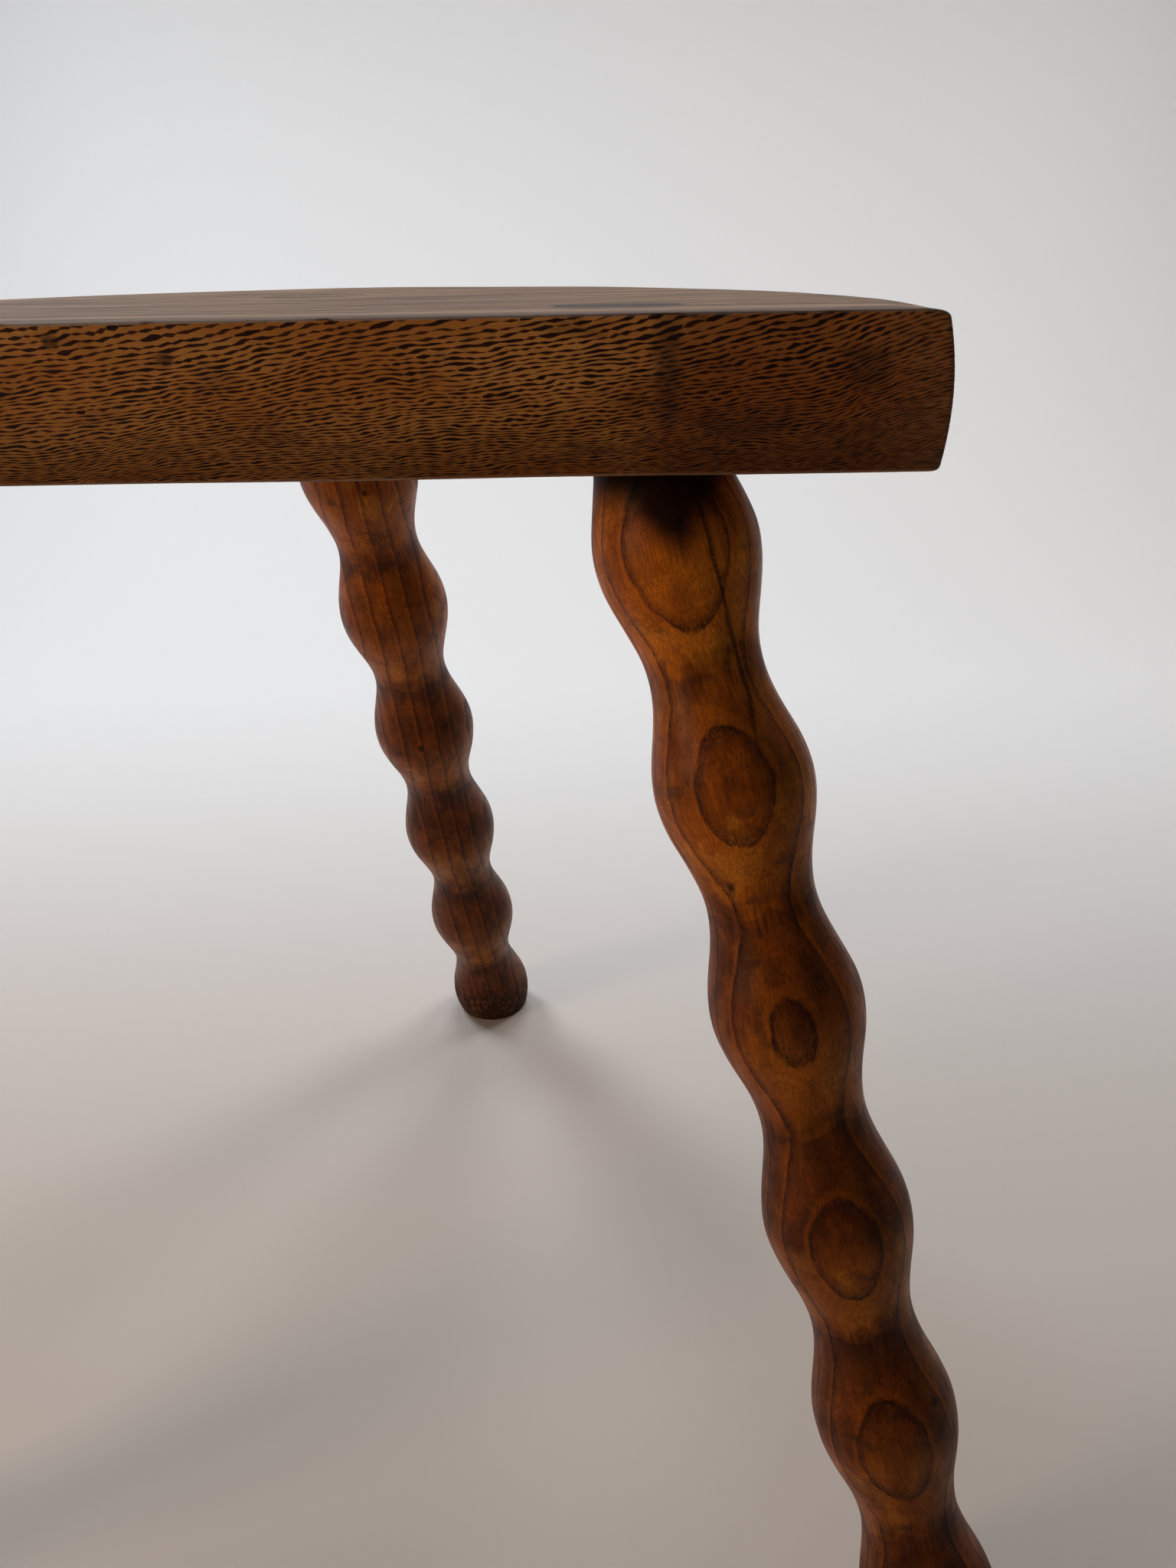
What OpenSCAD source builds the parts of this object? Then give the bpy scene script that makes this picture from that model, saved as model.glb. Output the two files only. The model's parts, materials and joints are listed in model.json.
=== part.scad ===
// Three-legged wooden stool: a thick half-oval seat with a straight front edge,
// and three splayed legs turned as a string of beads. Each leg ends in a round
// tenon that goes right through the seat and is spread there by a wedge.
//
// Frame: millimetres, +Z up. The origin is on the floor, at the centre of the
// stool's bounding box. +X runs along the straight front edge, and +Y runs
// from the straight front edge to the rounded back.

/* [Seat] */
// Height of the seat's top above the floor
seat_height = 410; // [380:1:440]
// Thickness of the seat plank
seat_thickness = 40; // [34:1:46]
// Width of the seat along its straight front edge
seat_width = 375; // [350:1:400]
// Depth of the seat from the straight front edge to the back
seat_depth = 252; // [240:1:270]
// Radius of the bulge of the sawn edge, in section
edge_bulge_radius = 88; // [60:1:150]
// Height of the bulge's widest level below the top
edge_bulge_drop = 22; // [10:1:24]
// Radius that breaks the seat's sharp edges
edge_break = 2; // [1:0.5:3]

/* [Leg places] */
// Distance of each front leg from the middle of the seat, at the underside
front_leg_x = 112.8; // [105:0.1:118]
// Distance of each front leg behind the front edge, at the underside
front_leg_y = 32; // [30:0.5:40]
// Direction that the front right leg leans in, degrees from +X
front_leg_azimuth = -47.3; // [-55:0.1:-35]
// Distance of the back leg from the middle of the seat, at the underside
back_leg_x = -2.8; // [-10:0.1:10]
// Distance of the back leg behind the front edge, at the underside
back_leg_y = 171.7; // [160:0.1:185]
// Direction that the back leg leans in, degrees from +X
back_leg_azimuth = 76; // [70:0.5:110]
// Lean of every leg from the vertical, in degrees
splay = 20.3; // [15:0.1:22]

/* [Turned legs] */
// Radius of a bead, taken back to the top of the leg
bead_radius = 24.85; // [22:0.05:27]
// Radius of a neck between two beads, as a share of the bead's radius
neck_share = 0.702; // [0.65:0.001:0.75]
// Distance from one bead to the next, along the leg
bead_pitch = 70.5; // [66:0.1:75]
// Distance of the first bead's middle below the seat, along the leg
first_bead = 26.9; // [24:0.1:30]
// Share of its radius that the leg loses over each 100 mm of its length
leg_taper = 0.0243; // [0:0.0001:0.04]

/* [Tenons and wedges] */
// Radius of the tenon and of its mortise
tenon_radius = 17.5; // [16:0.1:18]
// Thickness of a wedge at the seat's top
wedge_thickness = 5.5; // [4:0.5:7]
// Thickness of a wedge at its driven end
wedge_tip = 1.2; // [1:0.1:2]
// Depth that a wedge is driven to below the seat's top
wedge_depth = 27; // [20:1:30]
// Angle of the wedges to the grain, which runs along X, in degrees
wedge_angle = 0; // [-30:1:30]

/* [Hidden] */
$fn = 96;

half_width = seat_width / 2;
seat_bottom = seat_height - seat_thickness;
leg_length = seat_bottom / cos(splay);  // along the leg's axis, down to the floor
reach = 2 * seat_width;  // half-size of the blocks that trim other shapes

// Each place: distance from the seat's middle, distance behind the front edge,
// and the direction of the lean. The front left leg mirrors the front right one.
FRONT_RIGHT = [front_leg_x, front_leg_y, front_leg_azimuth];
FRONT_LEFT = [-front_leg_x, front_leg_y, 180 - front_leg_azimuth];
BACK = [back_leg_x, back_leg_y, back_leg_azimuth];

// Radius of the leg at a distance u below the seat, along its axis: a cosine
// between the beads and the necks, on a slow taper.
function leg_radius(u) =
    let (
        swell = (1 + neck_share) / 2,
        ripple = (1 - neck_share) / 2,
        taper = 1 - leg_taper * u / 100
    )
    bead_radius * taper * (swell + ripple * cos(360 * (u - first_bead) / bead_pitch));

// How far the leg reaches along +Y or -Y from its own place on the seat, down
// to the floor. lean is the leg direction's share along that axis. The foot's
// outer edge meets the floor past the end of the axis.
stations = 240;
function reach_along(lean) =
    let (
        across = sqrt(1 - lean^2),
        last = leg_length + leg_radius(leg_length) * lean / across
    )
    max([
        for (i = [0:stations])
            let (u = last * i / stations)
            u * lean + leg_radius(u) * across
    ]);
front_reach = reach_along(-sin(splay) * sin(front_leg_azimuth));
back_reach = reach_along(sin(splay) * sin(back_leg_azimuth));

// The front edge's Y, which centres the whole stool on the origin.
front_y = -((front_leg_y - front_reach) + (back_leg_y + back_reach)) / 2;

// How far the sawn edge lies inside the outline at a height z below the top:
// a wide bulge, with both corners broken.
function corner_inset(gap) =
    gap >= edge_break ? 0 : edge_break - sqrt(edge_break^2 - (edge_break - gap)^2);
function edge_inset(z) =
    edge_bulge_radius - sqrt(edge_bulge_radius^2 - (z + edge_bulge_drop)^2)
    + corner_inset(-z) + corner_inset(seat_thickness + z);

// Heights, from the seat's top down, where the edge's section has a point.
corner_steps = [0, 0.08, 0.25, 0.55, 1];
bulge_levels = 8;
edge_levels = concat(
    [for (s = corner_steps) -s * edge_break],
    [for (i = [1:bulge_levels - 1])
        -edge_break - (seat_thickness - 2 * edge_break) * i / bulge_levels],
    [for (i = [4:-1:0]) -seat_thickness + corner_steps[i] * edge_break]
);

// The seat's body as a whole oval, its top at z = 0. It's a disc with the sawn
// edge's section, stretched from front to back. It runs on above and below the
// seat, so that flat planes can cut it to thickness.
module oval_plank() {
    overrun = 5;
    top_radius = half_width - edge_inset(0);
    bottom_radius = half_width - edge_inset(-seat_thickness);
    scale([1, seat_depth / half_width, 1])
        rotate_extrude($fn = 180)
            polygon(concat(
                [[0, overrun], [top_radius, overrun]],
                [for (z = edge_levels) [half_width - edge_inset(z), z]],
                [[bottom_radius, -seat_thickness - overrun], [0, -seat_thickness - overrun]]
            ));
}

// Everything behind the straight front face and between the flat top and the
// flat underside. The front's long edges are broken.
module behind_front() {
    rotate([90, 0, 90])
        translate([0, 0, -reach])
            linear_extrude(2 * reach)
                polygon(concat(
                    [for (s = corner_steps) [corner_inset(s * edge_break), -s * edge_break]],
                    [for (i = [4:-1:0])
                        [corner_inset(corner_steps[i] * edge_break),
                         -seat_thickness + corner_steps[i] * edge_break]],
                    [[reach, -seat_thickness], [reach, 0]]
                ));
}

// Puts its children in a leg's own frame: the origin at the seat's underside,
// on the leg's axis, and -Z along the leg towards its foot.
module at_leg(place) {
    translate([place[0], front_y + place[1], seat_bottom])
        rotate([0, 0, place[2]])
            rotate([0, -splay, 0])
                children();
}

// A block that holds everything between two heights.
module slab(low, high) {
    translate([-reach, -reach, low])
        cube([2 * reach, 2 * reach, high - low]);
}

module tenon_bar(place) {
    at_leg(place)
        translate([0, 0, -seat_thickness])
            cylinder(r = tenon_radius, h = 3 * seat_thickness);
}

// The turned outline, from a neck inside the seat to past the floor.
module turned_beads() {
    overrun = 10;
    points = 96;
    step = (leg_length + 2 * overrun) / points;
    rotate_extrude($fn = 90)
        polygon(concat(
            [[0, overrun]],
            [for (i = [0:points]) let (u = i * step - overrun) [leg_radius(u), -u]],
            [[0, -leg_length - overrun]]
        ));
}

// The wedge fills its slot in the tenon, and is planed off level with the seat.
module wedge_body(place) {
    intersection() {
        tenon_bar(place);
        at_leg(place)
            translate([0, 0, seat_thickness / cos(splay)])
                rotate([0, 0, wedge_angle - place[2]])
                    rotate([90, 0, 90])
                        translate([0, 0, -reach / 2])
                            linear_extrude(reach)
                                wedge_section();
        slab(seat_bottom, seat_height);
    }
}

// The wedge's section, straight down the tenon. It overruns the seat's top on
// the same slope, because the leaning tenon meets the top at an angle.
module wedge_section() {
    slope = (wedge_thickness - wedge_tip) / 2 / wedge_depth;
    overrun = tenon_radius;
    polygon([
        [-wedge_tip / 2, -wedge_depth],
        [wedge_tip / 2, -wedge_depth],
        [wedge_thickness / 2 + slope * overrun, overrun],
        [-wedge_thickness / 2 - slope * overrun, overrun]
    ]);
}

module seat() {
    color([0.34, 0.19, 0.09])
        difference() {
            translate([0, front_y, seat_height])
                intersection() {
                    oval_plank();
                    behind_front();
                }
            for (place = [FRONT_RIGHT, FRONT_LEFT, BACK])
                tenon_bar(place);
        }
}

module leg(place) {
    color([0.42, 0.2, 0.06])
        difference() {
            union() {
                intersection() {
                    at_leg(place) turned_beads();
                    slab(0, seat_bottom);
                }
                intersection() {
                    tenon_bar(place);
                    slab(seat_bottom, seat_height);
                }
            }
            wedge_body(place);
        }
}

module wedge(place) {
    color([0.58, 0.4, 0.22])
        wedge_body(place);
}

seat();
leg(FRONT_RIGHT);  // leg_front_right
leg(FRONT_LEFT);  // leg_front_left
leg(BACK);  // leg_back
wedge(FRONT_RIGHT);  // wedge_front_right
wedge(FRONT_LEFT);  // wedge_front_left
wedge(BACK);  // wedge_back
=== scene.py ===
import json
import math

import bmesh
import bpy
import numpy as np
from mathutils import Matrix, Vector


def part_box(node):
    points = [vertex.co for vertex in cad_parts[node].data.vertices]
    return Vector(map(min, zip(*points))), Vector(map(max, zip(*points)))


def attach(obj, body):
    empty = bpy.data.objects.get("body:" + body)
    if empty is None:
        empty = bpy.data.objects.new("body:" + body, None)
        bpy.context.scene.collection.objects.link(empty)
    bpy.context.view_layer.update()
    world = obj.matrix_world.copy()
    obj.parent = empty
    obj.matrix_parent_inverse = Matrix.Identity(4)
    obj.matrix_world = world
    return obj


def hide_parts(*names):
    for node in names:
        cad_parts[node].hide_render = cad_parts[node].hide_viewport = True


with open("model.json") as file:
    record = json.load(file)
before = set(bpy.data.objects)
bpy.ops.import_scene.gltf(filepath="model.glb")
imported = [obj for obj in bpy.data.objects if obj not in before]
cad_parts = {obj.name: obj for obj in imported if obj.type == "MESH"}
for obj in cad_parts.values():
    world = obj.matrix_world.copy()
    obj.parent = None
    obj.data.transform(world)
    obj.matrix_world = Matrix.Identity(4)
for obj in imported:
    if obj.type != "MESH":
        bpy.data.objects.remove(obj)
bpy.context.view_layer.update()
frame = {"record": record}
MM = 0.001

# Sizes that the CAD model also uses, in millimetres and degrees.
SEAT_DEPTH = 252.0
SEAT_THICKNESS = 40.0
EDGE_BULGE_RADIUS = 88.0
EDGE_BULGE_DROP = 22.0
SPLAY = 20.3
BEAD_RADIUS = 24.85
NECK_SHARE = 0.702
BEAD_PITCH = 70.5
FIRST_BEAD = 26.9
LEG_TAPER = 0.0243
TENON_RADIUS = 17.5
WEDGE_THICKNESS = 5.5
WEDGE_TIP = 1.2
WEDGE_DEPTH = 27.0
WEDGE_ANGLE = 0.0

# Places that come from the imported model.
seat_low, seat_high = (np.array(v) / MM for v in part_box("seat"))
SEAT_TOP = seat_high[2]
SEAT_BOTTOM = seat_low[2]
FRONT_Y = seat_low[1]
HALF_WIDTH = (seat_high[0] - seat_low[0]) / 2
FOOT = {m["name"]: np.array(m["pos_m"]) / MM for m in frame["record"]["mounts"]}

# The gap that shows between two pieces.
FIT = 0.12

# Each leg: the direction that it leans in, the direction that its growth rings
# face, how light it is, how strong its ring lines are, how far the rings wander
# from bead to bead, and where the leg is in its own tree.
LEGS = {
    "front_right": {
        "azimuth": -47.3, "rings_face": -45.0, "tone": 1.0, "lines": 1.0,
        "wander": (0.2, 2.5, 5.2, 2.0, 0.8, 1.5, 1.5), "shift": (0.0, 0.0, 0.0),
    },
    "front_left": {
        "azimuth": 227.3, "rings_face": 70.0, "tone": 0.9, "lines": 0.8,
        "wander": (1.0, -1.5, 2.0, 3.5, 1.0, -1.0, -1.0), "shift": (2.6, 31.0, 412.0),
    },
    "back": {
        "azimuth": 76.0, "rings_face": 285.0, "tone": 0.72, "lines": 0.4,
        "wander": (2.0, 3.0, 0.5, -1.0, 1.5, 3.0, 3.0), "shift": (-3.1, 57.0, 837.0),
    },
}
RING_SPACING = 8.0
RING_PLACE = 18.0
RING_CURVE = 150.0
LEG_ROWS = 340
LEG_OVERRUN = 12.0
FOOT_WEAR = 0.9
TENON_BELOW_TOP = 0.2
WEDGE_BELOW_TOP = 0.05

# Seeds for the rings' wandering and for the uneven turning. Each leg adds its own number.
RINGS_SEED = 40
TURNING_SEED = 10


# --- The camera and the light -------------------------------------------------

CAMERA_PLACE = (95.0, -434.5, 425.5)
CAMERA_PITCH = 24.3
CAMERA_YAW = -0.44
CAMERA_ROLL = 1.0
CAMERA_LENS = 27.42


def make_camera():
    pitch, yaw, roll = (math.radians(a) for a in (CAMERA_PITCH, CAMERA_YAW, CAMERA_ROLL))
    flat = math.cos(pitch)
    ahead = Vector((math.sin(yaw) * flat, math.cos(yaw) * flat, -math.sin(pitch)))
    level = Vector((math.cos(yaw), -math.sin(yaw), 0))
    upright = level.cross(ahead)
    right = level * math.cos(roll) - upright * math.sin(roll)
    up = upright * math.cos(roll) + level * math.sin(roll)
    data = bpy.data.cameras.new("camera")
    data.lens = CAMERA_LENS
    data.clip_start = 0.01
    camera = bpy.data.objects.new("camera", data)
    turn = Matrix((right, up, -ahead)).transposed()
    camera.matrix_world = Matrix.Translation(Vector(CAMERA_PLACE) * MM) @ turn.to_4x4()
    bpy.context.scene.collection.objects.link(camera)
    bpy.context.scene.camera = camera


# Soft square lamps: place and aim in metres, size in metres, power in watts, colour.
LAMPS = {
    "back_left": ((-0.8, 0.9, 1.25), (-0.4, 0.65, 0.0), 0.55, 10.0, (0.9, 0.95, 1.0)),
    "back_middle": ((0.1, 0.9, 1.25), (0.05, 0.65, 0.0), 0.55, 4.5, (0.97, 0.98, 1.0)),
    "back_right": ((1.0, 0.9, 1.25), (0.5, 0.65, 0.0), 0.55, 7.0, (1.0, 0.97, 0.95)),
    "front_left": ((-1.27, -0.66, 0.6), (0.05, 0.1, 0.1), 0.35, 5.5, (1.0, 0.72, 0.5)),
}


def make_light():
    world = bpy.data.worlds.new("studio")
    world.use_nodes = True
    shade = world.node_tree.nodes["Background"]
    shade.inputs["Color"].default_value = (0.93, 0.95, 1.0, 1)
    shade.inputs["Strength"].default_value = 0.05
    bpy.context.scene.world = world
    for name, (place, aim, size, power, colour) in LAMPS.items():
        data = bpy.data.lights.new(name, "AREA")
        data.shape = "SQUARE"
        data.size = size
        data.energy = power
        data.color = colour
        lamp = bpy.data.objects.new(name, data)
        lamp.location = place
        lamp.rotation_euler = (Vector(place) - Vector(aim)).to_track_quat("Z", "Y").to_euler()
        lamp.visible_camera = False
        bpy.context.scene.collection.objects.link(lamp)
    bpy.context.scene.view_settings.view_transform = "Standard"


# --- Mesh helpers ---------------------------------------------------------------

def wave_noise(points, wavelength, seed, count=24):
    """Smooth noise of about -1 to 1 at each point: a sum of seeded plane waves."""
    random = np.random.default_rng(seed)
    way = random.normal(size=(count, points.shape[1]))
    way /= np.linalg.norm(way, axis=1)[:, None]
    way *= 2 * math.pi / wavelength * random.uniform(0.6, 1.6, count)[:, None]
    return np.cos(points @ way.T + random.uniform(0, 2 * math.pi, count)).sum(1) / math.sqrt(count)


def mesh_object(name, points, faces):
    mesh = bpy.data.meshes.new(name)
    mesh.from_pydata((points * MM).tolist(), [], faces)
    mesh.validate()
    thing = bpy.data.objects.new(name, mesh)
    bpy.context.scene.collection.objects.link(thing)
    return thing


def grid_faces(rows, columns):
    """Quads between the rings of a closed body, with a fan to one more vertex at each end."""
    faces = []
    for r in range(rows - 1):
        for c in range(columns):
            d = (c + 1) % columns
            near, far = r * columns, (r + 1) * columns
            faces.append((near + c, near + d, far + d, far + c))
    low, high = rows * columns, rows * columns + 1
    last = (rows - 1) * columns
    for c in range(columns):
        d = (c + 1) % columns
        faces.append((low, d, c))
        faces.append((high, last + c, last + d))
    return faces


def combine(thing, cutter, operation):
    """Applies an exact boolean to thing and removes the cutter."""
    step = thing.modifiers.new("step", "BOOLEAN")
    step.operation = operation
    step.solver = "EXACT"
    step.object = cutter
    evaluated = thing.evaluated_get(bpy.context.evaluated_depsgraph_get())
    made = bpy.data.meshes.new_from_object(evaluated)
    thing.modifiers.clear()
    thing.data = made
    bpy.data.objects.remove(cutter)


def trim(thing, height, keep_below, worn=0.0):
    """Cuts a body level, closes it, and rounds the new edge."""
    work = bmesh.new()
    work.from_mesh(thing.data)
    cut = bmesh.ops.bisect_plane(
        work, geom=work.verts[:] + work.edges[:] + work.faces[:], plane_co=(0, 0, height * MM),
        plane_no=(0, 0, 1), clear_outer=keep_below, clear_inner=not keep_below,
    )
    rim = [e for e in cut["geom_cut"] if isinstance(e, bmesh.types.BMEdge)]
    bmesh.ops.edgeloop_fill(work, edges=rim)
    if worn:
        bmesh.ops.bevel(work, geom=rim, offset=worn * MM, segments=3, profile=0.5, affect="EDGES")
    bmesh.ops.recalc_face_normals(work, faces=work.faces[:])
    work.to_mesh(thing.data)
    work.free()


def smooth(thing, angle=32):
    thing.data.shade_smooth()
    thing.data.set_sharp_from_angle(angle=math.radians(angle))


def vertex_places(thing):
    places = np.zeros(len(thing.data.vertices) * 3)
    thing.data.vertices.foreach_get("co", places)
    return places.reshape(-1, 3) / MM


def store(thing, name, values):
    """Writes a vector for each vertex, for the materials."""
    attribute = thing.data.attributes.new(name, "FLOAT_VECTOR", "POINT")
    attribute.data.foreach_set("vector", values.astype(np.float32).ravel())


def finish_piece(thing, node, material):
    smooth(thing)
    thing.data.materials.clear()
    thing.data.materials.append(material)
    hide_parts(node)
    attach(thing, "root")


# --- The materials' building blocks -----------------------------------------------

def rgb(red, green, blue):
    """A colour given as screen values from 0 to 255."""
    shares = [v / 255 for v in (red, green, blue)]
    return (*(v / 12.92 if v < 0.0404 else ((v + 0.055) / 1.055) ** 2.4 for v in shares), 1)


class Shader:
    """One material's nodes. A value is a number, a colour or another node's output."""

    def __init__(self, name):
        self.material = bpy.data.materials.new(name)
        self.material.use_nodes = True
        self.tree = self.material.node_tree
        self.skin = self.tree.nodes["Principled BSDF"]

    def node(self, kind, inputs, **settings):
        made = self.tree.nodes.new("ShaderNode" + kind)
        for key, value in settings.items():
            setattr(made, key, value)
        for key, value in inputs.items():
            if isinstance(value, bpy.types.NodeSocket):
                self.tree.links.new(value, made.inputs[key])
            else:
                made.inputs[key].default_value = value
        return made.outputs

    def math(self, operation, a, b=0.0, c=0.0):
        return self.node("Math", {0: a, 1: b, 2: c}, operation=operation)[0]

    def add(self, *values):
        total = values[0]
        for value in values[1:]:
            total = self.math("ADD", total, value)
        return total

    def times(self, *values):
        total = values[0]
        for value in values[1:]:
            total = self.math("MULTIPLY", total, value)
        return total

    def most(self, *values):
        total = values[0]
        for value in values[1:]:
            total = self.math("MAXIMUM", total, value)
        return total

    def step(self, value, low, high, bottom=0.0, top=1.0):
        """Bottom where the value is under low, top where it's over high, smooth between."""
        if low > high:
            low, high, bottom, top = high, low, top, bottom
        ends = {"Value": value, "From Min": low, "From Max": high, "To Min": bottom, "To Max": top}
        return self.node("MapRange", ends, interpolation_type="SMOOTHSTEP")[0]

    def stretch(self, place, x, y, z):
        """The place in a frame where the pattern's cells are x by y by z millimetres."""
        scale = (1 / x, 1 / y, 1 / z)
        return self.node("VectorMath", {0: place, 1: scale}, operation="MULTIPLY")[0]

    def noise(self, place, cell, detail=2.0, rough=0.5):
        cells = self.stretch(place, *cell)
        inputs = {"Vector": cells, "Scale": 1.0, "Detail": detail, "Roughness": rough}
        return self.node("TexNoise", inputs)[0]

    def swing(self, place, cell, size, detail=1.0):
        """Noise that swings from about -size to size."""
        return self.times(self.add(self.noise(place, cell, detail), -0.5), 2.6 * size)

    def split(self, vector):
        return self.node("SeparateXYZ", {0: vector})

    def join(self, x, y, z=0.0):
        return self.node("CombineXYZ", {0: x, 1: y, 2: z})[0]

    def distance(self, x, y):
        return self.node("VectorMath", {0: self.join(x, y)}, operation="LENGTH")["Value"]

    def from_middle(self, value):
        return self.math("ABSOLUTE", self.add(self.math("FRACT", value), -0.5))

    def mix(self, share, a, b, way="MIX"):
        return self.node("Mix", {0: share, 6: a, 7: b}, data_type="RGBA", blend_type=way)[2]

    def tint(self, share, colour, filter_colour):
        """Multiplies a share of the colour by a filter."""
        return self.mix(share, colour, self.mix(1.0, colour, filter_colour, "MULTIPLY"))

    def shade(self, colour, amount):
        """Multiplies a colour by a grey amount."""
        grey = self.node("CombineColor", {0: amount, 1: amount, 2: amount})[0]
        return self.mix(1.0, colour, grey, "MULTIPLY")

    def bump(self, height, depth_mm, strength=1.0):
        inputs = {"Height": height, "Distance": depth_mm * MM, "Strength": strength}
        self.tree.links.new(self.node("Bump", inputs)[0], self.skin.inputs["Normal"])

    def finish(self, colour, rough, shine):
        inputs = {"Base Color": colour, "Roughness": rough, "Specular IOR Level": shine}
        for name, value in inputs.items():
            if isinstance(value, bpy.types.NodeSocket):
                self.tree.links.new(value, self.skin.inputs[name])
            else:
                self.skin.inputs[name].default_value = value
        return self.material


# --- The legs ---------------------------------------------------------------------

def leg_axes(leg):
    """The leg's own axes: outwards across the leg, sideways, and down the leg."""
    azimuth, splay = math.radians(LEGS[leg]["azimuth"]), math.radians(SPLAY)
    lean = np.array((math.cos(azimuth), math.sin(azimuth), 0))
    side = np.array((-math.sin(azimuth), math.cos(azimuth), 0))
    up = np.array((0, 0, 1))
    out = math.cos(splay) * lean + math.sin(splay) * up
    down = math.sin(splay) * lean - math.cos(splay) * up
    return out, side, down


def leg_top(leg):
    """Where the leg's axis meets the seat's underside."""
    down = leg_axes(leg)[2]
    return FOOT["foot_" + leg] + down * (SEAT_BOTTOM / down[2])


def tenon_mouth(leg):
    """Where the leg's axis meets the seat's top."""
    return leg_top(leg) - leg_axes(leg)[2] * SEAT_THICKNESS / math.cos(math.radians(SPLAY))


def leg_radius(u):
    """The turned outline: a cosine between beads and necks, on a slow taper."""
    swell, ripple = (1 + NECK_SHARE) / 2, (1 - NECK_SHARE) / 2
    wave = np.cos(2 * math.pi * (u - FIRST_BEAD) / BEAD_PITCH)
    return BEAD_RADIUS * (1 - LEG_TAPER * u / 100) * (swell + ripple * wave)


def turned(leg, stations, radii, columns=120):
    """A round body on the leg's axis."""
    out, side, down = leg_axes(leg)
    angle = np.linspace(0, 2 * math.pi, columns, endpoint=False)
    ring = np.cos(angle)[:, None] * out + np.sin(angle)[:, None] * side
    rows = leg_top(leg) + stations[:, None, None] * down + radii[:, None, None] * ring
    ends = [leg_top(leg) + stations[0] * down, leg_top(leg) + stations[-1] * down]
    return np.concatenate([rows.reshape(-1, 3), ends]), grid_faces(len(stations), columns)


def tenon_bar(leg, radius):
    lean = math.cos(math.radians(SPLAY))
    heights = np.linspace(-(SEAT_THICKNESS + TENON_RADIUS) / lean, 6, 5)
    return mesh_object("tenon", *turned(leg, heights, np.full(5, radius)))


def wedge_blade(leg, looser=0.0):
    """The wedge's flat blade, before it's trimmed to the tenon."""
    out, side, down = leg_axes(leg)
    turn = math.radians(WEDGE_ANGLE - LEGS[leg]["azimuth"])
    along = math.cos(turn) * out + math.sin(turn) * side
    across = math.cos(turn) * side - math.sin(turn) * out
    top = tenon_mouth(leg)
    overrun = TENON_RADIUS
    slope = (WEDGE_THICKNESS - WEDGE_TIP) / 2 / WEDGE_DEPTH
    tip, head = WEDGE_TIP / 2 + looser, WEDGE_THICKNESS / 2 + slope * overrun + looser
    points = [
        top + along * end + across * half * sign - down * level
        for end in (-2 * TENON_RADIUS, 2 * TENON_RADIUS)
        for half, level in ((tip, -WEDGE_DEPTH - looser), (head, overrun))
        for sign in (-1, 1)
    ]
    faces = [(0, 1, 3, 2), (4, 6, 7, 5), (0, 4, 5, 1), (2, 3, 7, 6), (0, 2, 6, 4), (1, 5, 7, 3)]
    return mesh_object("wedge_" + leg, np.array(points), faces)


def wood_places(leg, points):
    """Each point's place in its leg's wood: across the rings, along a ring, down the grain."""
    out, side, down = leg_axes(leg)
    local = points - leg_top(leg)
    face = math.radians(LEGS[leg]["rings_face"])
    through = local @ (math.cos(face) * out + math.sin(face) * side)
    along = local @ (math.cos(face) * side - math.sin(face) * out)
    u = local @ down
    beads = FIRST_BEAD + BEAD_PITCH * np.arange(len(LEGS[leg]["wander"]))
    wander = np.interp(u, beads, LEGS[leg]["wander"])
    seed = RINGS_SEED + sorted(LEGS).index(leg)
    wander += 0.3 * wave_noise(local, 50, seed) + 0.16 * wave_noise(local, 12, seed + 10)
    bow = -along**2 / RING_CURVE
    shift = LEGS[leg]["shift"]
    return np.column_stack([through + bow - wander + shift[0], along + shift[1], u])


def make_leg(leg, material):
    down = leg_axes(leg)[2]
    length = SEAT_BOTTOM / math.cos(math.radians(SPLAY))
    stations = np.linspace(-LEG_OVERRUN, length + LEG_OVERRUN, LEG_ROWS)
    points, faces = turned(leg, stations, leg_radius(stations))
    local = points - leg_top(leg)
    across = local - (local @ down)[:, None] * down
    seed = TURNING_SEED + sorted(LEGS).index(leg)
    # Shares of the radius, on average a little inside the CAD outline.
    uneven = 0.007 * wave_noise(local, 70, seed) + 0.0025 * wave_noise(local, 16, seed + 20) - 0.012
    points += across * uneven[:, None]
    body = mesh_object("leg_" + leg, points, faces)
    trim(body, SEAT_BOTTOM, True)
    trim(body, 0, False, worn=FOOT_WEAR)
    tenon = tenon_bar(leg, TENON_RADIUS - FIT)
    trim(tenon, SEAT_TOP - TENON_BELOW_TOP, True)
    combine(body, tenon, "UNION")
    combine(body, wedge_blade(leg, FIT), "DIFFERENCE")
    store(body, "wood", wood_places(leg, vertex_places(body)))
    finish_piece(body, "leg_" + leg, material)


def make_wedge(leg, material):
    wedge = wedge_blade(leg)
    combine(wedge, tenon_bar(leg, TENON_RADIUS - FIT), "INTERSECT")
    trim(wedge, SEAT_TOP - WEDGE_BELOW_TOP, True)
    finish_piece(wedge, "wedge_" + leg, material)


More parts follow.
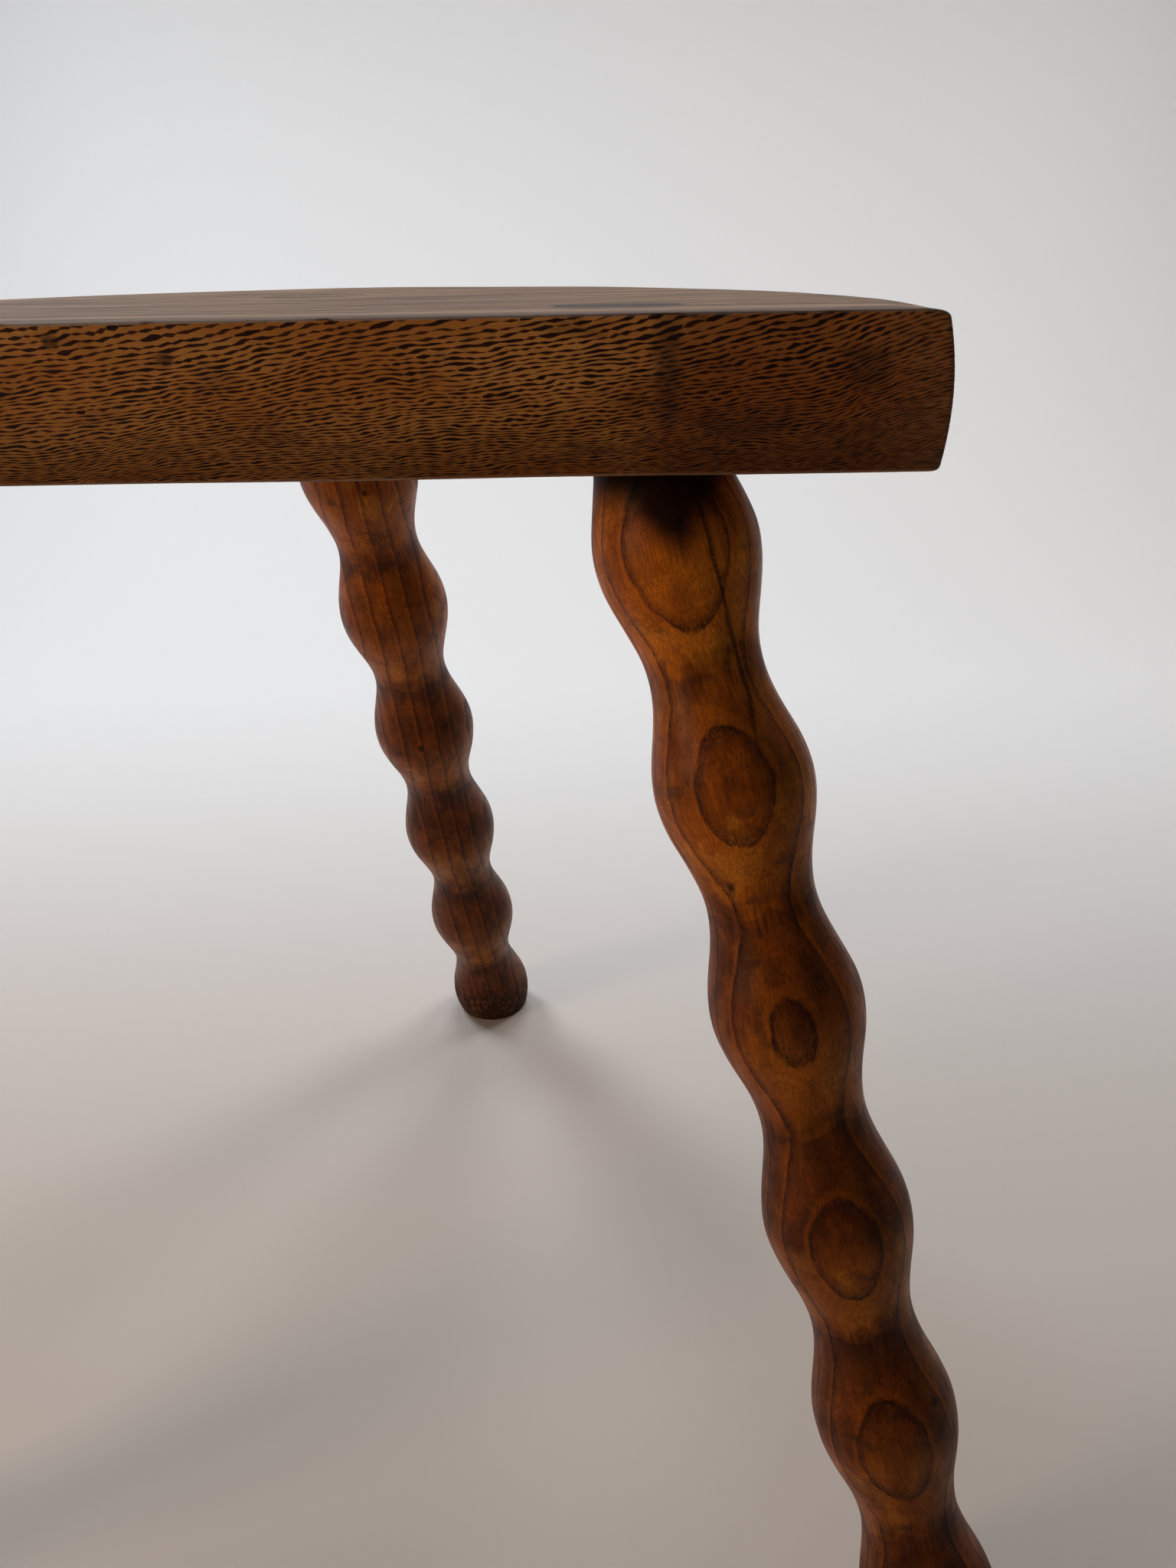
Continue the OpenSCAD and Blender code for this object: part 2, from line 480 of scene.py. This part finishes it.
def leg_wood(leg):
    """Varnished, turned, ring-porous wood, stained in patches and dirty at the foot."""
    s = Shader("leg_wood_" + leg)
    wood = s.node("Attribute", {}, attribute_name="wood")["Vector"]
    through, along, u = s.split(wood)
    height = s.split(s.node("TexCoord", {})["Object"])[2]

    # Growth rings: a dark porous line, a pale halo before it and a stippled band after it.
    uneven = s.swing(wood, (2.6, 2.6, 5), 0.22)
    ring = s.math("DIVIDE", s.add(through, -RING_PLACE, uneven), RING_SPACING)
    share = s.math("FRACT", ring)
    number = s.math("FLOOR", ring)
    line = s.most(s.step(share, 0.075, 0.0), s.step(share, 0.97, 1.0))
    halo = s.times(s.step(share, 0.78, 0.9), s.step(share, 0.985, 0.94))
    band = s.times(s.step(share, 0.0, 0.03), s.step(share, 0.3, 0.05))
    ring_tone = s.node("TexWhiteNoise", {"W": number}, noise_dimensions="1D")[0]

    # Fibres and pores run down the grain, and fine tool marks run round the leg.
    fibre = s.noise(wood, (0.5, 0.5, 20), 3)
    long_pore = s.noise(wood, (0.26, 0.32, 2.6), 1)
    stipple = s.noise(wood, (0.3, 0.3, 0.8), 2)
    lathe = s.noise(wood, (50, 50, 0.3), 2)
    broad = s.noise(wood, (20, 20, 40), 2)
    patch = s.noise(wood, (8, 8, 15), 4, 0.62)
    stain = s.noise(wood, (15, 15, 21), 2, 0.4)

    # Each bead is darker and redder on its upper half, and lighter on its lower.
    bead = s.math("DIVIDE", s.add(u, -FIRST_BEAD), BEAD_PITCH)
    phase = s.math("FRACT", s.add(bead, 0.5, s.swing(wood, (12, 12, 18), 0.09, 3)))
    further = s.step(u, 40.0, 150.0, 0.3, 0.75)
    upper = s.times(s.step(phase, 0.96, 0.9), s.step(phase, 0.62, 0.4), further)
    neck = s.most(s.step(phase, 0.88, 0.97), s.step(phase, 0.14, 0.02))

    amber = s.mix(s.step(broad, 0.3, 0.7), rgb(206, 114, 22), rgb(176, 90, 12))
    amber = s.mix(s.step(stain, 0.55, 0.59, 0.0, 0.6), amber, rgb(224, 134, 34))
    red_brown = s.mix(s.step(patch, 0.35, 0.65), rgb(138, 64, 24), rgb(98, 44, 16))
    colour = s.mix(s.times(upper, s.step(stain, 0.3, 0.5, 0.55, 0.95)), amber, red_brown)
    colour = s.shade(colour, s.add(0.86, s.times(ring_tone, 0.2)))
    colour = s.shade(colour, s.step(patch, 0.3, 0.7, 1.18, 0.72))
    colour = s.mix(s.times(halo, 0.35), colour, rgb(208, 110, 18))
    colour = s.mix(s.times(band, s.step(stipple, 0.35, 0.6, 0.1, 0.6)), colour, rgb(88, 36, 8))
    colour = s.shade(colour, s.step(fibre, 0.3, 0.7, 0.7, 1.2))
    colour = s.shade(colour, s.step(lathe, 0.3, 0.7, 0.9, 1.08))
    colour = s.shade(colour, s.step(stipple, 0.3, 0.7, 0.9, 1.08))
    breaks = s.step(s.noise(wood, (6, 6, 9), 2), 0.36, 0.62, 0.05, 0.8)
    broken = s.times(breaks, s.step(stipple, 0.25, 0.5, 0.5, 1.0))
    colour = s.mix(s.times(line, broken, LEGS[leg]["lines"]), colour, rgb(50, 18, 5))
    ring_pores = s.times(s.step(long_pore, 0.5, 0.58), s.step(share, 0.2, 0.02))
    pores = s.most(ring_pores, s.step(long_pore, 0.66, 0.74, 0.0, 0.45))
    colour = s.mix(s.times(pores, 0.75), colour, rgb(40, 16, 7))

    # Darkened necks with streaks, a few grey smudges, and small dark knots.
    streak = s.step(s.noise(wood, (1.5, 1.5, 15), 3), 0.48, 0.66)
    colour = s.mix(s.times(neck, s.step(patch, 0.35, 0.6, 0.2, 0.55)), colour, rgb(70, 28, 10))
    colour = s.mix(s.times(neck, streak, 0.4), colour, rgb(30, 14, 9))
    smudge = s.times(s.step(s.noise(wood, (12, 12, 8), 4, 0.65), 0.56, 0.68), 0.5)
    colour = s.mix(smudge, colour, rgb(64, 40, 26))
    knots = s.node("TexVoronoi", {"Vector": s.stretch(wood, 23, 23, 31), "Scale": 1.0})["Distance"]
    colour = s.mix(s.step(knots, 0.075, 0.04, 0.0, 0.8), colour, rgb(28, 13, 8))

    # A fine crack down the first bead, and the black upper end under the seat: partly dirt, partly
    # painted shade from the seat over it.
    middle = LEGS[leg]["shift"][1]
    off_crack = s.math("ABSOLUTE", s.add(along, -middle - 9.0, s.swing(wood, (9, 9, 30), 2.0)))
    crack_length = s.times(s.step(u, 8.0, 20.0), s.step(u, 96.0, 70.0))
    crack_depth = s.step(stipple, 0.3, 0.55, 0.3, 0.85)
    crack = s.times(s.step(off_crack, 0.9, 0.2), crack_length, crack_depth)
    colour = s.mix(crack, colour, rgb(40, 16, 7))
    off_middle = s.math("ABSOLUTE", s.add(along, -middle - 2.0))
    from_seat = s.add(u, off_middle, s.swing(wood, (12, 12, 14), 5.0))
    # Near-black upper end: partly dirt, partly painted shade cast by the seat.
    dirt_and_shade_under_seat = s.step(from_seat, 36.0, 20.0, 0.0, 0.96)
    colour = s.mix(dirt_and_shade_under_seat, colour, rgb(14, 5, 2))
    colour = s.shade(colour, s.times(LEGS[leg]["tone"], s.step(u, 30.0, 260.0, 1.22, 0.68)))

    # The foot is scuffed and dirty, and the tenon's end is as grey-brown as the seat's top.
    dirt = s.step(s.add(height, s.times(s.noise(wood, (5, 5, 7), 3, 0.65), -0.03)), 0.02, -0.008)
    mottle = s.step(s.noise(wood, (2.2, 2.2, 3.2), 3), 0.5, 0.68)
    grime = s.mix(mottle, rgb(30, 18, 12), rgb(104, 66, 36))
    colour = s.mix(s.times(dirt, 0.85), colour, grime)
    end = s.step(u, -SEAT_THICKNESS + 8, -SEAT_THICKNESS + 4)
    end_dots = s.step(s.noise(wood, (0.5, 0.5, 9), 2), 0.4, 0.6)
    colour = s.mix(end, colour, s.mix(end_dots, rgb(104, 76, 56), rgb(160, 124, 98)))

    rough = s.add(
        s.step(patch, 0.25, 0.75, 0.28, 0.46), s.times(line, 0.1), s.times(dirt, 0.3),
        s.times(end, 0.25), s.times(stipple, 0.08),
    )
    relief = s.add(
        s.times(fibre, 0.3), s.times(lathe, 0.22), s.times(pores, -0.5),
        s.times(line, broken, -0.35), s.times(stipple, 0.35), s.times(patch, 0.25),
    )
    s.bump(relief, 0.22, 0.6)
    return s.finish(colour, rough, 0.14)


def wedge_wood(name, pale, dark):
    """The planed end of a split wedge, worn and stained."""
    s = Shader(name)
    place = s.stretch(s.node("TexCoord", {})["Object"], MM, MM, MM)
    lines = s.noise(place, (0.5, 9, 9), 3)
    spots = s.noise(place, (2.5, 4, 4), 3, 0.6)
    colour = s.mix(s.step(lines, 0.35, 0.65), pale, dark)
    colour = s.mix(s.step(spots, 0.5, 0.7, 0.0, 0.7), colour, dark)
    s.bump(s.add(lines, s.times(spots, 0.5)), 0.15, 0.6)
    return s.finish(colour, s.step(spots, 0.3, 0.7, 0.55, 0.75), 0.3)


# --- The seat ---------------------------------------------------------------------

# Rounding of the front's upright corners and of the top and bottom edges.
CORNER_RADIUS = 1.5
TOP_WEAR = 1.0
BOTTOM_WEAR = 1.4
# Width and drop of the worn shoulder at each end of the top.
SHOULDER = 9.0
SHOULDER_DROP = 2.6
# Depth of the uneven hand work, sideways, from front to back, and in height.
DENTS = (0.25, 0.25, 0.2)
# Share of the depth where the faces' points meet.
CENTRE_SHARE = 0.4
FRONT_POINTS = 220
CORNER_POINTS = 14
BACK_POINTS = 340
MORTISE_SPAN = (-70.0, 15.0)
# Length of one ray fleck with the gap after it, and the slope of their rows.
FLECK_SPACING = 4.8
ROW_SLOPE = 0.1
TOP_LINE_SPACING = 13.0
# Stains on the front edge: place along it, drop from the top, half width, half height, strength.
SEAT_STAINS = [
    (114.5, 12.0, 4.5, 17.0, 0.6),
    (-39.5, 4.5, 3.0, 2.2, 0.75),
    (-12.0, 9.0, 2.6, 2.2, 0.7),
    (164.0, 14.0, 8.0, 7.0, 0.5),
]


def seat_outline(side_inset, front_inset):
    """The seat's outline at one level, with round corners at both ends of the front."""
    half = HALF_WIDTH - side_inset
    front = FRONT_Y + front_inset
    depth = half * SEAT_DEPTH / HALF_WIDTH
    reach = half - CORNER_RADIUS
    line = np.linspace(-reach, reach, FRONT_POINTS)
    low = np.column_stack([line, np.full(FRONT_POINTS, front)])
    turn = np.linspace(-math.pi / 2, 0, CORNER_POINTS + 2)[1:-1]
    corner_x = reach + CORNER_RADIUS * np.cos(turn)
    corner_y = front + CORNER_RADIUS * (1 + np.sin(turn))
    corner = np.column_stack([corner_x, corner_y])
    start = math.asin((front_inset + CORNER_RADIUS) / depth)
    angle = np.linspace(start, math.pi - start, BACK_POINTS)
    back = np.column_stack([half * np.cos(angle), FRONT_Y + depth * np.sin(angle)])
    return np.concatenate([low, corner, back, corner[::-1] * (-1, 1)])


def bulge(drop):
    """How far the sawn edge lies inside its widest level, at a drop below the top."""
    return EDGE_BULGE_RADIUS - np.sqrt(EDGE_BULGE_RADIUS**2 - (drop - EDGE_BULGE_DROP) ** 2)


def level_loop(outline, height):
    return np.column_stack([outline, np.full(len(outline), height)])


def seat_rings():
    """Closed loops from the middle of the top, over the edge, to the middle of the underside."""
    steps = np.radians(np.linspace(90, 0, 7))
    side = np.linspace(TOP_WEAR, SEAT_THICKNESS - BOTTOM_WEAR, 24)[1:-1]
    drops = np.concatenate([
        TOP_WEAR * (1 - np.sin(steps)),
        side,
        SEAT_THICKNESS - BOTTOM_WEAR * (1 - np.sin(steps[::-1])),
    ])
    insets = np.concatenate([
        TOP_WEAR * (1 - np.cos(steps)),
        np.zeros(len(side)),
        BOTTOM_WEAR * (1 - np.cos(steps[::-1])),
    ])
    centre = np.array((0, FRONT_Y + SEAT_DEPTH * CENTRE_SHARE))
    shares = 1 - np.linspace(0, 1, 28)[1:-1] ** 0.9
    top = seat_outline(bulge(0) + TOP_WEAR, TOP_WEAR)
    under = seat_outline(bulge(SEAT_THICKNESS) + BOTTOM_WEAR, BOTTOM_WEAR)
    rings = [level_loop(centre + (top - centre) * k, SEAT_TOP) for k in shares[::-1]]
    for drop, inset in zip(drops, insets):
        rings.append(level_loop(seat_outline(bulge(drop) + inset, inset), SEAT_TOP - drop))
    rings += [level_loop(centre + (under - centre) * k, SEAT_BOTTOM) for k in shares]
    return rings, centre


def make_seat(material):
    rings, centre = seat_rings()
    points = np.concatenate(rings + [[(*centre, SEAT_TOP), (*centre, SEAT_BOTTOM)]])
    # Hand work: the faces aren't quite flat, and the edges are worn unevenly.
    middle = np.array((*centre, (SEAT_TOP + SEAT_BOTTOM) / 2))
    dent = 0.5 + 0.4 * wave_noise(points, 110, 3) + 0.05 * wave_noise(points, 30, 4)
    dent = np.clip(dent, 0, 1.2)
    way = points - middle
    way[:, :2] /= np.linalg.norm(way[:, :2], axis=1)[:, None] + 1
    way[:, 2] /= SEAT_THICKNESS / 2
    points -= way * dent[:, None] * DENTS
    shoulder = np.clip((np.abs(points[:, 0]) - HALF_WIDTH + SHOULDER) / SHOULDER, 0, 1)
    high = np.clip((points[:, 2] - SEAT_BOTTOM) / SEAT_THICKNESS, 0, 1)
    points[:, 2] -= SHOULDER_DROP * shoulder**2 * high**3
    seat = mesh_object("seat", points, [f[::-1] for f in grid_faces(len(rings), len(rings[0]))])
    for leg in LEGS:
        hole = turned(leg, np.array(MORTISE_SPAN), np.full(2, TENON_RADIUS + FIT))
        cutter = mesh_object("cutter", *hole)
        combine(seat, cutter, "DIFFERENCE")
    finish_piece(seat, "seat", material)


def seat_wood():
    """An old plank: ray flecks on its edge, darker end grain, and a worn grey top."""
    s = Shader("seat_wood")
    place = s.stretch(s.node("TexCoord", {})["Object"], MM, MM, MM)
    x, y, z = s.split(place)
    facing = s.split(s.node("NewGeometry", {})["Normal"])
    depth = s.math("SUBTRACT", SEAT_TOP, z)
    sideways = s.math("ABSOLUTE", x)

    # Rows of spindle flecks, wider apart near the top, that wave and climb to the right.
    waving = s.add(
        depth, s.swing(place, (60, 60, 30), 3.2), s.swing(place, (8, 8, 3), 0.75),
        s.step(sideways, HALF_WIDTH - 45, HALF_WIDTH, 0.0, 7.0),
    )
    crowding = s.add(0.46, s.times(s.most(waving, -4.0), 0.015))
    row = s.add(s.times(waving, crowding), s.times(x, ROW_SLOPE))
    level = s.math("FLOOR", row)
    start = s.node("TexWhiteNoise", {"W": level}, noise_dimensions="1D")[0]
    spacing = s.times(FLECK_SPACING, s.step(start, 0.0, 1.0, 0.75, 1.3))
    drift = s.swing(place, (11, 11, 3), 3.0)
    column = s.add(s.math("DIVIDE", s.add(x, drift), spacing), s.times(start, 9.0))
    cell = s.join(s.math("FLOOR", column), level)
    own = s.node("TexWhiteNoise", {"Vector": cell}, noise_dimensions="2D")[0]
    off_row = s.times(s.from_middle(row), 3.0)
    off_middle = s.times(s.from_middle(column), 1.35)
    away = s.add(off_row, off_middle, s.times(own, 0.5))
    fleck = s.step(away, 1.3, 0.95)
    hair = s.noise(place, (7, 7, 0.22), 2)
    broad = s.noise(place, (55, 55, 16), 2)
    patch = s.noise(place, (16, 16, 7), 3, 0.6)

    light = s.mix(s.step(broad, 0.35, 0.65), rgb(224, 154, 80), rgb(204, 128, 56))
    dark = s.mix(s.step(own, 0.1, 0.9), rgb(50, 22, 8), rgb(86, 42, 16))
    edge_face = s.mix(fleck, light, dark)
    edge_face = s.shade(edge_face, s.step(hair, 0.3, 0.7, 0.86, 1.1))
    right = s.step(s.add(x, s.swing(place, (18, 18, 18), 14)), 92.0, 128.0)
    edge_face = s.tint(s.times(right, 0.72), edge_face, rgb(176, 142, 118))
    edge_face = s.tint(s.step(depth, 14.0, 42.0), edge_face, rgb(182, 170, 150))
    smudges = s.times(s.step(patch, 0.54, 0.72), s.step(sideways, 20.0, 120.0, 0.25, 0.45))
    edge_face = s.mix(smudges, edge_face, rgb(56, 34, 22))
    for spot_x, spot_drop, across, tall, strength in SEAT_STAINS:
        away = s.distance(
            s.math("DIVIDE", s.add(x, -spot_x, s.swing(place, (4, 4, 4), 1.2)), across),
            s.math("DIVIDE", s.add(depth, -spot_drop), tall),
        )
        edge_face = s.mix(s.step(away, 1.2, 0.3, 0.0, strength), edge_face, rgb(48, 28, 20))

    # End grain, darker and greyer, at both ends of the plank.
    ends = s.step(s.math("ABSOLUTE", facing[0]), 0.35, 0.9)
    end_lines = s.noise(s.join(y, s.add(z, s.times(y, 0.3)), x), (9, 0.8, 4), 3)
    end_face = s.mix(s.step(end_lines, 0.35, 0.65), rgb(84, 54, 34), rgb(176, 128, 86))
    last_part = s.step(sideways, HALF_WIDTH - 26, HALF_WIDTH - 2, 0.0, 0.6)
    near_end = s.most(s.times(ends, 0.85), last_part)
    edge_face = s.mix(near_end, edge_face, s.mix(0.5, edge_face, end_face))
    edge_face = s.mix(ends, edge_face, end_face)

    # The top: grey-brown and matt, with the rings' lines running along the plank.
    wander = s.add(s.swing(place, (110, 60, 60), 3.0), s.swing(place, (25, 20, 20), 1.2))
    behind = s.add(y, -FRONT_Y, wander)
    line_share = s.math("FRACT", s.math("DIVIDE", behind, TOP_LINE_SPACING))
    lines = s.most(s.step(line_share, 0.12, 0.0), s.step(line_share, 0.93, 1.0))
    lines = s.times(lines, s.step(s.noise(place, (26, 9, 9), 2), 0.38, 0.62, 0.0, 0.9))
    top_grain = s.noise(place, (70, 4, 8), 4, 0.65)
    fine_grain = s.noise(place, (7, 1.2, 8), 2)
    top_face = s.mix(s.step(top_grain, 0.34, 0.66), rgb(96, 68, 48), rgb(182, 144, 112))
    top_face = s.shade(top_face, s.step(fine_grain, 0.3, 0.7, 0.84, 1.1))
    pale_band = s.times(s.step(behind, 14.0, 18.0), s.step(behind, 30.0, 24.0))
    top_face = s.mix(s.times(pale_band, 0.45), top_face, rgb(200, 164, 136))
    first_line = s.times(s.step(behind, 1.0, 2.5), s.step(behind, 12.0, 6.0))
    first_line = s.times(first_line, s.step(fine_grain, 0.3, 0.6, 0.25, 0.7))
    top_face = s.mix(first_line, top_face, rgb(82, 62, 50))
    top_face = s.mix(lines, top_face, rgb(74, 57, 47))
    for leg in LEGS:
        mouth = tenon_mouth(leg)
        away = s.distance(s.add(x, -mouth[0]), s.add(y, -mouth[1]))
        top_face = s.mix(s.step(away, 20.0, 18.0, 0.0, 0.45), top_face, rgb(58, 44, 36))

    # The faces together, with pale edges that are partly worn and partly a painted highlight where
    # the rounding faces up, a painted highlight on the lower edge, and a few scratches.
    upward = s.step(facing[2], 0.3, 0.75)
    downward = s.step(facing[2], -0.5, -0.85)
    # Pale upward-tilted edges: part wear, part painted highlight, stronger towards the left.
    worn = s.times(
        s.step(facing[2], 0.12, 0.4), s.step(facing[2], 0.995, 0.9),
        s.step(s.noise(place, (9, 9, 9), 3), 0.3, 0.5), s.step(x, 110.0, 20.0, 0.35, 1.0),
    )
    under_grain = s.step(s.noise(place, (60, 1.4, 8), 3), 0.35, 0.65)
    under_face = s.mix(under_grain, rgb(112, 74, 44), rgb(146, 102, 64))
    colour = s.mix(upward, edge_face, top_face)
    colour = s.mix(downward, colour, under_face)
    colour = s.mix(s.times(worn, 0.85), colour, rgb(206, 186, 170))
    # Painted highlight on the rounded lower edge, where it turns down and out.
    painted_highlight_lower_edge = s.times(s.step(facing[2], -0.25, -0.5), s.step(facing[2], -0.95, -0.7))
    colour = s.mix(s.times(painted_highlight_lower_edge, 0.3), colour, rgb(170, 130, 96))
    slanted = s.join(s.add(x, s.times(z, 0.6)), y, s.times(z, 0.2))
    scratches = s.step(s.noise(slanted, (0.5, 9, 6), 1), 0.79, 0.83)
    colour = s.mix(s.times(scratches, 0.35), colour, rgb(196, 176, 160))

    rough = s.mix(upward, s.add(0.5, s.times(fleck, 0.12)), s.add(0.62, s.times(top_grain, 0.2)))
    edge_relief = s.add(s.times(fleck, -0.6), s.times(hair, 0.3))
    top_relief = s.add(s.times(top_grain, 0.7), s.times(lines, -0.6))
    below_top = s.math("SUBTRACT", 1.0, upward)
    relief = s.add(s.times(below_top, edge_relief), s.times(upward, top_relief))
    s.bump(relief, 0.2, 0.55)
    return s.finish(colour, rough, 0.2)


# --- The stage ----------------------------------------------------------------------

def paper():
    """Matt white paper, with painted shade that makes it darker and a little yellower towards the
    near end of the floor.
    """
    s = Shader("paper")
    distance = s.split(s.node("TexCoord", {})["Object"])[1]
    # Painted shade: the sheet turns darker and warmer towards the near end, in place of light
    # falling off towards the front.
    colour = s.mix(s.step(distance, -0.15, 0.6), (0.71, 0.645, 0.59, 1), (0.81, 0.81, 0.81, 1))
    return s.finish(colour, 0.9, 0.5)


def make_stage():
    """A pale sheet that runs along the floor and curves up behind the stool."""
    # In metres: the bend's radius, where it starts, the top, the near end and half the width.
    bend, back, high, near, half = 0.9, 0.75, 2.6, -2.5, 3.0
    turn = np.linspace(0, math.pi / 2, 24)
    path = [(near, 0.0)]
    path += [(back + bend * math.sin(a), bend * (1 - math.cos(a))) for a in turn]
    path.append((back + bend, high))
    points = np.array([(x, y, z) for y, z in path for x in (-half, half)]) / MM
    faces = [(2 * i, 2 * i + 1, 2 * i + 3, 2 * i + 2) for i in range(len(path) - 1)]
    sweep = mesh_object("backdrop", points, faces)
    sweep.data.shade_smooth()
    sweep.data.materials.append(paper())


make_camera()
make_light()
make_stage()
make_seat(seat_wood())
tan_wedge = wedge_wood("wedge_wood_tan", rgb(176, 134, 88), rgb(124, 88, 54))
dark_wedge = wedge_wood("wedge_wood_dark", rgb(44, 30, 22), rgb(24, 16, 12))
for leg in LEGS:
    make_leg(leg, leg_wood(leg))
    make_wedge(leg, tan_wedge if leg == "back" else dark_wedge)
